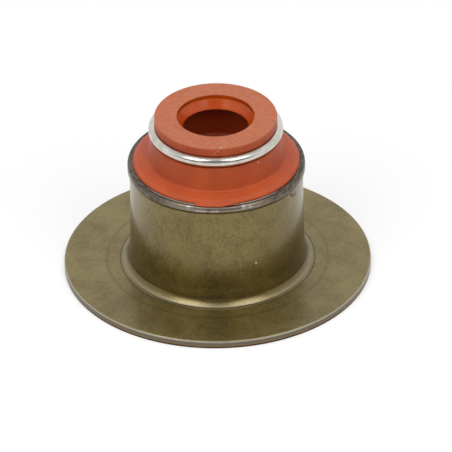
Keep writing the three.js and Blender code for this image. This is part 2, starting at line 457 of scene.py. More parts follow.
def rubber_relief(azimuth, radius, height):
    """Slow waves of moulded rubber, and the tongue that runs out over the crown's gap in front.

    The tongue is full from the gap's start and thins out evenly towards the gap's stop.
    """
    push = RUBBER_WAVINESS * waves(azimuth, height, *RUBBER_WAVES)
    degrees = np.degrees(azimuth)
    full = sector(azimuth, GAP_START, GAP_STOP, TONGUE_SOFT)
    tongue = full * np.clip((GAP_STOP - degrees) / (GAP_STOP - TONGUE_STOP), 0, 1)
    foot = hill(np.hypot(radius - SHOULDER_FOOT_RADIUS, height - CROWN_HEIGHT), TONGUE_ROUND)
    return push, TONGUE_REACH * tongue * foot, -TONGUE_DROP * tongue * foot


# Ring: shape

SPLIT_WIDTH = 0.3
WIRE_END_ROUND = 0.12


def ring_surface():
    """Round wire carried along an arc that stops short of itself at the back, with rounded wire ends.

    Along the arc the section's radius is the wire's, and within the last stretch at either end it
    falls as a quarter circle to a small flat face.
    """
    span = math.pi - SPLIT_WIDTH / 2 / RING_RADIUS
    even = np.linspace(-span, span, RING_STEPS)
    near = WIRE_END_ROUND / RING_RADIUS * np.linspace(0, 1, 6)
    azimuths = np.unique(np.concatenate([even, -span + near, span - near]))
    from_end = (span - np.abs(azimuths)) * RING_RADIUS
    inside = np.clip(1 - from_end / WIRE_END_ROUND, 0, 1)
    section = WIRE_RADIUS - WIRE_END_ROUND * (1 - np.sqrt(1 - inside ** 2))
    turn = np.linspace(0, 2 * math.pi, WIRE_STEPS, endpoint=False)[:, None]
    radius = RING_RADIUS + section[None, :] * np.cos(turn)
    height = RING_HEIGHT + section[None, :] * np.sin(turn)
    return place(radius, height, np.broadcast_to(azimuths[None, :], radius.shape)), len(azimuths)


def make_ring(material):
    """The ring's tube of quads and the two flat faces that close its ends."""
    points, columns = ring_surface()
    tube = quads(WIRE_STEPS, columns, True, False)
    first = np.arange(WIRE_STEPS) * columns
    last = (first + columns - 1)[::-1]
    faces = [*tube.tolist(), first.tolist(), last.tolist()]
    return make_piece("wire_tension_ring", points, faces, material)


# Torn flash on the head's front edge: shape

THREAD_THICKNESS = 0.05
THREAD_STEPS = 32
THREAD_SIDES = 8
THREAD_STEP_HEIGHT = 0.3
THREAD_FOOT_LEFT = 2.3
THREAD_FOOT_RIGHT = 7.6
THREAD_OVER = 0.02
THREAD_LEAN = 0.15
THREAD_OFF = 0.035
THREAD_POWER = 0.6
THREAD_THINNEST = 0.25


def make_thread(material):
    """A hair of torn flash that stands as an arch against the head's side and leans over its top edge.

    Its middle line runs from foot to foot evenly in azimuth, and rises and leans inward by sin(pi t) to
    the power THREAD_POWER. Its round section shrinks with sqrt(sin(pi t)) towards the feet.
    """
    share = np.linspace(0.0, 1.0, THREAD_STEPS)
    rise = np.sin(math.pi * share) ** THREAD_POWER
    degrees = THREAD_FOOT_LEFT + (THREAD_FOOT_RIGHT - THREAD_FOOT_LEFT) * share
    height = SEAL_HEIGHT + THREAD_OVER - THREAD_STEP_HEIGHT * (1 - rise)
    middle = place(HEAD_TOP_RADIUS + THREAD_OFF - THREAD_LEAN * rise, height, np.radians(degrees))
    along = np.gradient(middle, axis=0)
    along /= np.linalg.norm(along, axis=1, keepdims=True)
    away = place(np.ones(THREAD_STEPS), np.zeros(THREAD_STEPS), np.radians(degrees)) / MM
    across = np.cross(away, along)
    across /= np.linalg.norm(across, axis=1, keepdims=True)
    away = np.cross(along, across)
    turn = np.linspace(0, 2 * math.pi, THREAD_SIDES, endpoint=False)[:, None, None]
    swell = THREAD_THINNEST + (1 - THREAD_THINNEST) * np.sqrt(np.sin(math.pi * share))
    section = THREAD_THICKNESS * MM * swell[None, :, None]
    points = middle[None] + section * (np.cos(turn) * away[None] + np.sin(turn) * across[None])
    first = np.arange(THREAD_SIDES) * THREAD_STEPS
    last = (first + THREAD_STEPS - 1)[::-1]
    faces = [*quads(THREAD_SIDES, THREAD_STEPS, True, False).tolist(), first.tolist(), last.tolist()]
    return make_piece("torn_flash", points, faces, material)


# Node building

def feed(tree, node, sockets):
    """Sets sockets by name: a value is either a constant or another node's output."""
    for key, value in sockets.items():
        numbered = key[0] == "i" and key[1:].isdigit()
        socket = node.inputs[int(key[1:])] if numbered else node.inputs[key.replace("_", " ")]
        if isinstance(value, bpy.types.NodeSocket):
            tree.links.new(value, socket)
        else:
            socket.default_value = value


def add(tree, kind, settings=None, **sockets):
    """A new node of that kind, with its own settings and its sockets fed."""
    made = tree.nodes.new(kind)
    for key, value in (settings or {}).items():
        setattr(made, key, value)
    feed(tree, made, sockets)
    return made


def use_group(tree, group, **sockets):
    """The outputs of a node group placed in the tree with its own values."""
    made = tree.nodes.new("ShaderNodeGroup")
    made.node_tree = group
    feed(tree, made, sockets)
    return made.outputs


def compute(tree, operation, first, second=0.0):
    return add(tree, "ShaderNodeMath", {"operation": operation}, i0=first, i1=second).outputs[0]


def times(tree, first, second):
    return compute(tree, "MULTIPLY", first, second)


def largest(tree, *values):
    """The greatest of several masks."""
    best = values[0]
    for value in values[1:]:
        best = compute(tree, "MAXIMUM", best, value)
    return best


def remap(tree, value, low, high, to_low=0.0, to_high=1.0):
    """Smooth step from to_low at low to to_high at high."""
    made = add(tree, "ShaderNodeMapRange", {"interpolation_type": "SMOOTHSTEP"},
               Value=value, From_Min=low, From_Max=high, To_Min=to_low, To_Max=to_high)
    return made.outputs["Result"]


def blend_colour(tree, share, first, second):
    return add(tree, "ShaderNodeMix", {"data_type": "RGBA"}, i0=share, i6=first, i7=second).outputs[2]


def bumped(tree, height, distance):
    return add(tree, "ShaderNodeBump", Height=height, Distance=distance, Strength=1.0).outputs[0]


def new_group(name, inputs, output):
    """An empty node group with named inputs, floats or vectors, and one float output."""
    tree = bpy.data.node_groups.new(name, "ShaderNodeTree")
    for label, value in inputs.items():
        kind = "NodeSocketVector" if isinstance(value, tuple) else "NodeSocketFloat"
        tree.interface.new_socket(label, in_out="INPUT", socket_type=kind).default_value = value
    tree.interface.new_socket(output, in_out="OUTPUT", socket_type="NodeSocketFloat")
    return tree, tree.nodes.new("NodeGroupInput").outputs, tree.nodes.new("NodeGroupOutput").inputs


def object_place(tree):
    return add(tree, "ShaderNodeTexCoord").outputs["Object"]


def turned_place(tree):
    """The distance from the axis, the height and the x and y of a point on the surface, in metres."""
    x, y, z = add(tree, "ShaderNodeSeparateXYZ", Vector=object_place(tree)).outputs
    square = compute(tree, "ADD", times(tree, x, x), times(tree, y, y))
    return compute(tree, "SQRT", square), z, x, y


def vector(tree, operation, first, second):
    return add(tree, "ShaderNodeVectorMath", {"operation": operation}, i0=first, i1=second).outputs


def centred_noise(tree, scale, detail):
    """Noise on the object's own place, from about -0.5 to 0.5."""
    noise = add(tree, "ShaderNodeTexNoise", Vector=object_place(tree), Scale=scale, Detail=detail)
    return compute(tree, "SUBTRACT", noise.outputs[0], 0.5)


def mottle_group():
    """Cloudy unevenness: noise on the object's own place, stretched along each axis, cut to 0..1."""
    tree, given, out = new_group("mottle", {"Scale": 1000.0, "Stretch": (1.0, 1.0, 1.0), "Detail": 4.0,
                                            "Low": 0.35, "High": 0.65}, "Value")
    moved = vector(tree, "MULTIPLY", object_place(tree), given["Stretch"])[0]
    noise = add(tree, "ShaderNodeTexNoise", Vector=moved, Scale=given["Scale"], Detail=given["Detail"])
    tree.links.new(remap(tree, noise.outputs[0], given["Low"], given["High"]), out["Value"])
    return tree


def lathe_group():
    """Streaks along the turn: noise on radius and height, which changes slowly round the axis."""
    tree, given, out = new_group("lathe_streaks", {"Scale": 5000.0, "Along": 0.1, "Low": 0.35,
                                                   "High": 0.65}, "Value")
    radius, height, x, y = turned_place(tree)
    section = add(tree, "ShaderNodeCombineXYZ", X=radius, Y=height, Z=times(tree, x, given["Along"]))
    fourth = times(tree, times(tree, y, given["Along"]), given["Scale"])
    noise = add(tree, "ShaderNodeTexNoise", {"noise_dimensions": "4D"}, Vector=section.outputs[0],
                W=fourth, Scale=given["Scale"], Detail=3.0)
    tree.links.new(remap(tree, noise.outputs[0], given["Low"], given["High"]), out["Value"])
    return tree


def circle_group():
    """A mark along a turned edge: 1 on the circle of that radius and height, 0 one width away, ragged."""
    tree, given, out = new_group("circle_mark", {"Radius": 0.01, "Height": 0.0, "Width": 0.0003,
                                                 "Ragged": 0.5, "Scale": 2500.0}, "Mask")
    radius, height = turned_place(tree)[:2]
    off = compute(tree, "SUBTRACT", radius, given["Radius"])
    rise = compute(tree, "SUBTRACT", height, given["Height"])
    square = compute(tree, "ADD", times(tree, off, off), times(tree, rise, rise))
    away = compute(tree, "DIVIDE", compute(tree, "SQRT", square), given["Width"])
    uneven = times(tree, centred_noise(tree, given["Scale"], 3.0), given["Ragged"])
    tree.links.new(remap(tree, compute(tree, "ADD", away, uneven), 1.0, 0.3), out["Mask"])
    return tree


def band_group():
    """A band round the axis: 1 between two heights, with limits that are soft and ragged."""
    tree, given, out = new_group("height_band", {"Low": 0.0, "High": 0.001, "Soft": 0.0001,
                                                 "Ragged": 0.0001}, "Mask")
    height = turned_place(tree)[1]
    level = compute(tree, "ADD", height, times(tree, centred_noise(tree, 2500.0, 3.0), given["Ragged"]))
    above = remap(tree, level, given["Low"], compute(tree, "ADD", given["Low"], given["Soft"]))
    below = remap(tree, level, given["High"], compute(tree, "SUBTRACT", given["High"], given["Soft"]))
    tree.links.new(times(tree, above, below), out["Mask"])
    return tree


def sector_group():
    """1 between two azimuths from the front, in degrees, 0 outside them."""
    tree, given, out = new_group("sector", {"Start": -10.0, "Stop": 10.0, "Soft": 0.6}, "Mask")
    x, y = turned_place(tree)[2:]
    turn = compute(tree, "DEGREES", compute(tree, "ARCTAN2", x, times(tree, y, -1.0)))
    after = remap(tree, turn, given["Start"], compute(tree, "ADD", given["Start"], given["Soft"]))
    before = remap(tree, turn, given["Stop"], compute(tree, "SUBTRACT", given["Stop"], given["Soft"]))
    tree.links.new(times(tree, after, before), out["Mask"])
    return tree


def spot_group():
    """A ragged spot: 1 at the centre, 0 one size away."""
    tree, given, out = new_group("spot", {"Centre": (0.0, 0.0, 0.0), "Size": 0.0002}, "Mask")
    away = vector(tree, "DISTANCE", object_place(tree), given["Centre"])["Value"]
    share = compute(tree, "DIVIDE", away, given["Size"])
    ragged = compute(tree, "ADD", share, centred_noise(tree, 4000.0, 2.0))
    tree.links.new(remap(tree, ragged, 1.0, 0.6), out["Mask"])
    return tree


def stroke_group():
    """A scratch from one point to another: 1 on the straight line between them, 0 one width away.

    With Run = To - From, the nearest point is From + clamp(dot(place - From, Run) / dot(Run, Run)) Run.
    """
    tree, given, out = new_group("stroke", {"From": (0.0, 0.0, 0.0), "To": (0.001, 0.0, 0.0),
                                            "Width": 0.0001}, "Mask")
    run = vector(tree, "SUBTRACT", given["To"], given["From"])[0]
    arm = vector(tree, "SUBTRACT", object_place(tree), given["From"])[0]
    along = vector(tree, "DOT_PRODUCT", arm, run)["Value"]
    whole = vector(tree, "DOT_PRODUCT", run, run)["Value"]
    held = add(tree, "ShaderNodeClamp", Value=compute(tree, "DIVIDE", along, whole)).outputs[0]
    nearest = add(tree, "ShaderNodeVectorMath", {"operation": "SCALE"}, i0=run, Scale=held).outputs[0]
    away = compute(tree, "DIVIDE", vector(tree, "DISTANCE", arm, nearest)["Value"], given["Width"])
    tree.links.new(remap(tree, away, 1.0, 0.4), out["Mask"])
    return tree


def make_groups():
    return {"mottle": mottle_group(), "lathe": lathe_group(), "circle": circle_group(), "band": band_group(),
            "sector": sector_group(), "spot": spot_group(), "stroke": stroke_group()}


def new_material(name):
    material = bpy.data.materials.new(name)
    material.use_nodes = True
    tree = material.node_tree
    return material, tree, tree.nodes["Principled BSDF"]


def inverse(tree, mask):
    return compute(tree, "SUBTRACT", 1.0, mask)


def mottle(tree, groups, scale, detail, low=0.3, high=0.7, stretch=(1.0, 1.0, 1.0)):
    return use_group(tree, groups["mottle"], Scale=scale, Stretch=stretch, Detail=detail, Low=low,
                     High=high)["Value"]


def streaks(tree, groups, scale, along, low, high):
    return use_group(tree, groups["lathe"], Scale=scale, Along=along, Low=low, High=high)["Value"]


def circle(tree, groups, radius, height, width, ragged=0.5):
    return use_group(tree, groups["circle"], Radius=radius * MM, Height=height * MM, Width=width * MM,
                     Ragged=ragged)["Mask"]


def band(tree, groups, low, high, soft, ragged):
    return use_group(tree, groups["band"], Low=low * MM, High=high * MM, Soft=soft * MM,
                     Ragged=ragged * MM)["Mask"]


def sector_mask(tree, groups, start, stop, soft=0.6):
    return use_group(tree, groups["sector"], Start=start, Stop=stop, Soft=soft)["Mask"]


def spots(tree, groups, marks):
    """The masks of spots (azimuth in degrees, radius, height, size) put together."""
    masks = []
    for degrees, radius, height, size in marks:
        centre = place_one(radius, height, degrees)
        masks.append(use_group(tree, groups["spot"], Centre=centre, Size=size * MM)["Mask"])
    return largest(tree, *masks)


# Casing: finish, with noise scales per metre and shares of one colour laid over another

OLIVE = (0.185, 0.138, 0.040, 1)
OLIVE_DARK = (0.130, 0.093, 0.026, 1)
KHAKI = (0.265, 0.215, 0.098, 1)
CROWN_GREY = (0.150, 0.125, 0.095, 1)
CROWN_DARK = (0.060, 0.048, 0.034, 1)
BARE_STEEL = (0.580, 0.560, 0.520, 1)
# Rubbed steel, also used for painted highlights on the bead
RUBBED_AND_HIGHLIGHT_STEEL = (0.430, 0.405, 0.370, 1)
# Painted highlight of the soft boxes on the foot's cone and land
FOOT_PAINTED_HIGHLIGHT = (0.270, 0.232, 0.145, 1)
# Paler steel for painted light on the crown's front
CROWN_FRONT_PAINTED_LIGHT = (0.300, 0.250, 0.190, 1)
# Lighter khaki of the flange: dust, and partly painted light that the flat flange catches
FLANGE_DUST_AND_LIGHT = (0.350, 0.290, 0.125, 1)
SHEARED_STEEL = (0.160, 0.125, 0.085, 1)
RUST_BROWN = (0.085, 0.034, 0.013, 1)
# Dark for painted shade in the crown's valley and on the land's step, and for the chips
PAINTED_SHADE_DARK = (0.030, 0.024, 0.014, 1)

CLOUD_SCALE = 600.0
SPECKLE_SCALE = 4200.0
GRAIN_SCALE = 6000.0
GRAIN_STRETCH = (1.0, 1.0, 0.06)
STAIN_SCALE = 420.0
CROWN_SCALE = 2600.0
SCRAPE_SCALE = 4000.0
SCRAPE_ALONG = 0.25
SCRAPE_LOW = 0.58
SCRAPE_HIGH = 0.70

KHAKI_LOW_HEIGHT = 2.0
KHAKI_HIGH_HEIGHT = 7.0
KHAKI_LOW_SHARE = 0.40
KHAKI_HIGH_SHARE = 0.65
GRAIN_SHARE = 0.2
STAIN_PART = 0.6
DUST_AND_LIGHT_LEAST = 0.22
DUST_AND_LIGHT_MOST = 0.64
SEAT_RING_RADIUS = 10.84
SEAT_RING_WIDTH = 0.24
SEAT_RING_SHARE = 0.35
# Painted shade that darkens the tube towards its right side
RIGHT_SHADE_START = 2.0
RIGHT_SHADE_STOP = 8.0
RIGHT_SHADE_SHARE = 0.35
BAND_SOFT = 0.08
ABOVE_ALL = 1
CROWN_START_DROP = 0.05
CROWN_RAGGED = 0.05
# Sector and share of the painted light on the crown's front
CROWN_LIGHT_AZIMUTH = 48.0
CROWN_LIGHT_SOFT = 30.0
CROWN_LIGHT_SHARE = 0.75
SCRAPE_SHARE = 0.5
RUBBED_AND_HIGHLIGHT_SHARE = 0.75
BURR_SHARE = 0.9
BURR_MARK_WIDTH = 0.10
BURR_MARK_SOFT = 14.0
VALLEY_SHADE_WIDTH = 0.08
FOOT_HIGHLIGHT_SHARE = 0.6
CONE_MARK_WIDTH = 0.4
LAND_HIGHLIGHT_WIDTH = 0.3
# Painted shade on the bend at the tube's foot
BEND_SHADE_WIDTH = 0.5
BEND_SHADE_SHARE = 0.8
RIM_WORN_DROP = 0.09
RIM_WORN_WIDTH = 0.15
RIM_WORN_SHARE = 0.4
RIM_DEPTH = 0.1
SHEAR_BREAK_HEIGHT = 0.25
SHEAR_TOP_DROP = 0.12
SHEAR_RAGGED = 0.12
BELOW_ALL = -0.5
SHADED_STEP_START = 28.0
SHADED_STEP_SOFT = 12.0
STEP_MARK_WIDTH = 0.1
STEP_MARK_RAGGED = 0.2
STEP_SHADE_SHARE = 0.6
CHIP_DARK_SIZE = 0.2

FILM_ROUGHNESS = 0.15
FILM_WEIGHT = 0.4
STEEL_SMOOTHEST = 0.29
STEEL_ROUGHEST = 0.35
FLANGE_ROUGHER = 0.20
FOOT_SMOOTHER = 0.03
SPECKLE_PART = 0.6
STEEL_RELIEF = 0.0035

# Spots as (azimuth, radius, height, size): rubbed spots on the bead's front, and painted highlights of the
# soft boxes at about -18, +18 and +22 degrees
RUBBED_AND_HIGHLIGHT_SPOTS = ((-12.8, 8.64, 11.6, 0.24), (-10.4, 8.64, 11.6, 0.24), (-8.0, 8.64, 11.6, 0.24),
              (-2.6, 8.64, 11.6, 0.24), (0.0, 8.64, 11.6, 0.24), (-18.5, 8.5, 11.84, 0.26),
              (17.6, 8.54, 11.8, 0.26), (22.0, 8.56, 11.74, 0.24))
PALE_SPECKS = ((26.1, 8.5, 4.99, 0.12),)


def crown_masks(tree, groups):
    """Where the crown is bare and grey, its bright burr, the scrapes and worn spots with painted highlights
    among them, and painted shade in its valley.
    """
    crown = band(tree, groups, BEAD_LOW - CROWN_START_DROP, CROWN_HEIGHT + ABOVE_ALL, BAND_SOFT, CROWN_RAGGED)
    gap = sector_mask(tree, groups, GAP_START, GAP_STOP)
    burred = sector_mask(tree, groups, BURR_LEFT, BURR_RIGHT, BURR_MARK_SOFT)
    whole = times(tree, burred, inverse(tree, gap))
    burr = circle(tree, groups, BURR_RADIUS, CROWN_HEIGHT + BURR_RISE, BURR_MARK_WIDTH)
    burr = times(tree, burr, whole)
    valley = circle(tree, groups, VALLEY_RADIUS, CROWN_HEIGHT - VALLEY_DEPTH, VALLEY_SHADE_WIDTH)
    valley = times(tree, valley, whole)
    scrapes = streaks(tree, groups, SCRAPE_SCALE, SCRAPE_ALONG, SCRAPE_LOW, SCRAPE_HIGH)
    # Scrapes and rubbed spots, with painted highlights of the soft boxes among the spots
    rubbed_and_highlights = largest(tree, times(tree, times(tree, scrapes, crown), SCRAPE_SHARE),
                     times(tree, spots(tree, groups, RUBBED_AND_HIGHLIGHT_SPOTS), RUBBED_AND_HIGHLIGHT_SHARE))
    return crown, burr, rubbed_and_highlights, valley


def rim_masks(tree, groups):
    """The flange's sheared edge: its worn top line, the grey shear and the brown break below it."""
    worn = circle(tree, groups, FLANGE_RADIUS, SHEET - RIM_WORN_DROP, RIM_WORN_WIDTH)
    inside = compute(tree, "GREATER_THAN", turned_place(tree)[0], (FLANGE_RADIUS - RIM_DEPTH) * MM)
    sheared = band(tree, groups, SHEAR_BREAK_HEIGHT, SHEET - SHEAR_TOP_DROP, BAND_SOFT, SHEAR_RAGGED)
    broken = band(tree, groups, BELOW_ALL, SHEAR_BREAK_HEIGHT, BAND_SOFT, SHEAR_RAGGED)
    return worn, times(tree, sheared, inside), times(tree, broken, inside)


def shade_and_chip_mask(tree, groups, valley):
    """Painted shade in the crown's valley and along the land's slope except in front, and the same dark in
    the chips.
    """
    front = sector_mask(tree, groups, -SHADED_STEP_START, SHADED_STEP_START, SHADED_STEP_SOFT)
    step = circle(tree, groups, LAND_RADIUS + LAND_SLOPE, SHEET, STEP_MARK_WIDTH, STEP_MARK_RAGGED)
    step = times(tree, step, inverse(tree, front))
    chips = spots(tree, groups, [(degrees, TUBE_RADIUS, level, CHIP_DARK_SIZE) for degrees, level in CHIPS])
    return largest(tree, valley, chips, times(tree, step, STEP_SHADE_SHARE))


def chromate_colour(tree, groups, speckle, drawn):
    """Cloudy olive with khaki specks, stronger towards the top, and dark upright grain."""
    clouds = mottle(tree, groups, CLOUD_SCALE, 6.0, 0.35, 0.65)
    colour = blend_colour(tree, clouds, OLIVE_DARK, OLIVE)
    share = remap(tree, turned_place(tree)[1], KHAKI_LOW_HEIGHT * MM, KHAKI_HIGH_HEIGHT * MM,
                  KHAKI_LOW_SHARE, KHAKI_HIGH_SHARE)
    colour = blend_colour(tree, times(tree, speckle, share), colour, KHAKI)
    return blend_colour(tree, times(tree, drawn, GRAIN_SHARE), colour, OLIVE_DARK)


def flange_colour(tree, groups, speckle, flat, colour):
    """Lighter khaki on the flange, patchy like dust and partly painted light, a darker ring on the flange,
    and painted shade on the right of the tube.
    """
    stains = mottle(tree, groups, STAIN_SCALE, 2.5)
    uneven = compute(tree, "ADD", times(tree, stains, STAIN_PART), times(tree, speckle, 1 - STAIN_PART))
    dust_and_light = remap(tree, uneven, 0.0, 1.0, DUST_AND_LIGHT_LEAST, DUST_AND_LIGHT_MOST)
    # The flange is painted lighter, patchy like dust, partly standing in for the light it catches
    colour = blend_colour(tree, times(tree, flat, dust_and_light), colour, FLANGE_DUST_AND_LIGHT)
    seat = circle(tree, groups, SEAT_RING_RADIUS, SHEET, SEAT_RING_WIDTH)
    colour = blend_colour(tree, times(tree, seat, SEAT_RING_SHARE), colour, OLIVE_DARK)
    # Painted shade: the tube darkens towards its right side
    right = remap(tree, turned_place(tree)[2], RIGHT_SHADE_START * MM, RIGHT_SHADE_STOP * MM)
    right_shade = times(tree, right, remap(tree, flat, 1.0, 0.0))
    return blend_colour(tree, times(tree, right_shade, RIGHT_SHADE_SHARE), colour, OLIVE_DARK)


def crown_colour(tree, groups, crown, colour):
    """Bare grey steel on the crown, mottled with dark, and painted light that makes it paler round the middle
    of the front.
    """
    grey = mottle(tree, groups, CROWN_SCALE, 4.0, 0.35, 0.65)
    middle = sector_mask(tree, groups, -CROWN_LIGHT_AZIMUTH, CROWN_LIGHT_AZIMUTH, CROWN_LIGHT_SOFT)
    bare = blend_colour(tree, grey, CROWN_DARK, CROWN_GREY)
    # Painted light: the crown is paler round the middle of the front
    bare = blend_colour(tree, times(tree, middle, CROWN_LIGHT_SHARE), bare, CROWN_FRONT_PAINTED_LIGHT)
    return blend_colour(tree, crown, colour, bare)


def foot_colour(tree, groups, cone, colour):
    """Painted highlights of the soft boxes on the cone and land at the tube's foot, and painted shade on the
    bend above them.
    """
    # Painted highlight of the soft boxes, on the cone and the land
    land = circle(tree, groups, (LAND_RADIUS + CONE_FOOT_RADIUS) / 2, LAND_HEIGHT, LAND_HIGHLIGHT_WIDTH)
    worn = times(tree, largest(tree, cone, land), FOOT_HIGHLIGHT_SHARE)
    colour = blend_colour(tree, worn, colour, FOOT_PAINTED_HIGHLIGHT)
    # Painted shade on the bend above the cone
    bend = circle(tree, groups, (FOOT_BEND_RADIUS + CONE_TOP_RADIUS) / 2,
                  (FOOT_BEND_HEIGHT + CONE_TOP_HEIGHT) / 2, BEND_SHADE_WIDTH)
    return blend_colour(tree, times(tree, bend, BEND_SHADE_SHARE), colour, OLIVE_DARK)


def steel_roughness(tree, speckle, flat, cone):
    """Satin, rougher on the flange with its dust and a little smoother on the foot's cone."""
    rough = remap(tree, speckle, 0.0, 1.0, STEEL_SMOOTHEST, STEEL_ROUGHEST)
    rough = compute(tree, "ADD", rough, times(tree, flat, FLANGE_ROUGHER))
    return compute(tree, "SUBTRACT", rough, times(tree, cone, FOOT_SMOOTHER))


def chromated_steel(groups):
    """Olive chromate over zinc: cloudy colour, upright drawing grain, bare where handling has worn it, and
    painted highlights and shade.

    A clear film lies over the chromate, so the paint shows olive and the highlights stay white.
    """
    material, tree, shader = new_material("olive_chromated_steel")
    speckle = mottle(tree, groups, SPECKLE_SCALE, 4.0)
    drawn = mottle(tree, groups, GRAIN_SCALE, 3.0, 0.4, 0.65, GRAIN_STRETCH)
    flat = remap(tree, turned_place(tree)[0], CONE_TOP_RADIUS * MM, LAND_RADIUS * MM)
    cone = circle(tree, groups, (CONE_TOP_RADIUS + CONE_FOOT_RADIUS) / 2,
                  (LAND_HEIGHT + CONE_TOP_HEIGHT) / 2, CONE_MARK_WIDTH)
    worn, sheared, broken = rim_masks(tree, groups)
    crown, burr, rubbed_and_highlights, valley = crown_masks(tree, groups)
    bare = largest(tree, times(tree, worn, RIM_WORN_SHARE), times(tree, burr, BURR_SHARE),
                   spots(tree, groups, PALE_SPECKS))
    shade_and_chips = shade_and_chip_mask(tree, groups, valley)

    colour = chromate_colour(tree, groups, speckle, drawn)
    colour = flange_colour(tree, groups, speckle, flat, colour)
    colour = blend_colour(tree, sheared, colour, SHEARED_STEEL)
    colour = blend_colour(tree, broken, colour, RUST_BROWN)
    colour = crown_colour(tree, groups, crown, colour)
    colour = foot_colour(tree, groups, cone, colour)
    # Rubbed steel, with painted highlights among the spots
    colour = blend_colour(tree, rubbed_and_highlights, colour, RUBBED_AND_HIGHLIGHT_STEEL)
    colour = blend_colour(tree, bare, colour, BARE_STEEL)
    # Painted shade in the valley and on the step, and dark in the chips
    colour = blend_colour(tree, shade_and_chips, colour, PAINTED_SHADE_DARK)

    relief = compute(tree, "ADD", times(tree, speckle, SPECKLE_PART), times(tree, drawn, 1 - SPECKLE_PART))
    film = times(tree, inverse(tree, largest(tree, crown, shade_and_chips, broken)), FILM_WEIGHT)
    feed(tree, shader, {"Base_Color": colour, "Metallic": 1.0,
                        "Roughness": steel_roughness(tree, speckle, flat, cone),
                        "Normal": bumped(tree, relief, STEEL_RELIEF * MM), "Coat_Weight": film,
                        "Coat_Roughness": FILM_ROUGHNESS})
    return material


# Rubber: finish

RUBBER = (0.570, 0.082, 0.006, 1)
RUBBER_DARK = (0.480, 0.060, 0.005, 1)
RUBBER_DEEP = (0.380, 0.040, 0.003, 1)
RUBBER_PALE = (0.530, 0.190, 0.100, 1)
BORE_SHADE = (0.230, 0.016, 0.002, 1)
RUBBER_SKIN = (0.700, 0.420, 0.300, 1)
FLASH_DARK = (0.620, 0.360, 0.260, 1)
FLASH_PALE = (0.780, 0.600, 0.500, 1)

RUBBER_CLOUD_SCALE = 500.0
RUBBER_GRAIN_SCALE = 6500.0
RUBBER_LINE_SCALE = 3600.0
RUBBER_LINE_ALONG = 0.06
PATCH_SCALE = 2600.0
FLASH_SCALE = 5000.0

LINE_SHARE = 0.3
RUBBER_GRAIN_SHARE = 0.14
FACE_DEPTH = 0.06
FACE_SOFT = 0.04
FACE_RAGGED = 0.02
GROUND_LEAST = 0.40
# Painted highlights along the head's top edge and the shoulder's edge
EDGE_HIGHLIGHT_INSET = 0.03
EDGE_HIGHLIGHT_WIDTH = 0.12
HEAD_EDGE_HIGHLIGHT_SHARE = 0.6
SHOULDER_EDGE_HIGHLIGHT_SHARE = 0.15
BORE_SHADE_REACH = 0.2
BORE_SHADE_SHARE = 0.65
HEAD_SCRATCH = ((-2.4, 16.39), (1.4, 16.87))
SCRATCH_WIDTH = 0.045
SCRATCH_SHARE = 0.5
NECK_SPECKS = ((39.8, 6.4, 14.8, 0.12),)

BORE_MARGIN = 0.02
CHAMBER_MARGIN = 0.1
RUBBER_GLOSS = 0.38
RUBBER_SMOOTHEST = 0.34
RUBBER_ROUGHEST = 0.46
FACE_ROUGHER = 0.15
BORE_SMOOTHER = 0.2
RUBBER_RELIEF = 0.012
FLASH_RELIEF = 0.005


def pale_rubber(tree, groups, face, lines):
    """Where the rubber is pale: the ground face, patchy and lined, and painted highlights along the head's
    top edge and the shoulder's edge.
    """
    patches = mottle(tree, groups, PATCH_SCALE, 6.0)
    scratched = compute(tree, "ADD", times(tree, patches, 0.5), times(tree, lines, 0.5))
    ground = times(tree, face, remap(tree, scratched, 0.1, 0.9, GROUND_LEAST, 1.0))
    # Painted highlights along the head's top edge and the shoulder's edge
    head = circle(tree, groups, HEAD_TOP_RADIUS - EDGE_HIGHLIGHT_INSET, SEAL_HEIGHT - EDGE_HIGHLIGHT_INSET, EDGE_HIGHLIGHT_WIDTH)
    shoulder = circle(tree, groups, SHOULDER_EDGE_RADIUS, SHOULDER_EDGE_HEIGHT, EDGE_HIGHLIGHT_WIDTH)
    edges = largest(tree, times(tree, head, HEAD_EDGE_HIGHLIGHT_SHARE), times(tree, shoulder, SHOULDER_EDGE_HIGHLIGHT_SHARE))
    return largest(tree, ground, edges)


def below_lip(tree, radius, height):
    """1 inside the bore from a little below the oil lip's edge down, 0 above the edge and outside."""
    inside = compute(tree, "LESS_THAN", radius, (CHAMBER_RADIUS + CHAMBER_MARGIN) * MM)
    lip = SEAL_HEIGHT - LIP_DEPTH
    return times(tree, inside, remap(tree, height, lip * MM, (lip - BORE_SHADE_REACH) * MM))


def bare_marks(tree, groups):
    """The scratch across the head's side and the specks on the neck."""
    start, stop = (place_one(HEAD_TOP_RADIUS, height, degrees) for degrees, height in HEAD_SCRATCH)
    scratch = use_group(tree, groups["stroke"], From=start, To=stop, Width=SCRATCH_WIDTH * MM)["Mask"]
    return largest(tree, times(tree, scratch, SCRATCH_SHARE), spots(tree, groups, NECK_SPECKS))


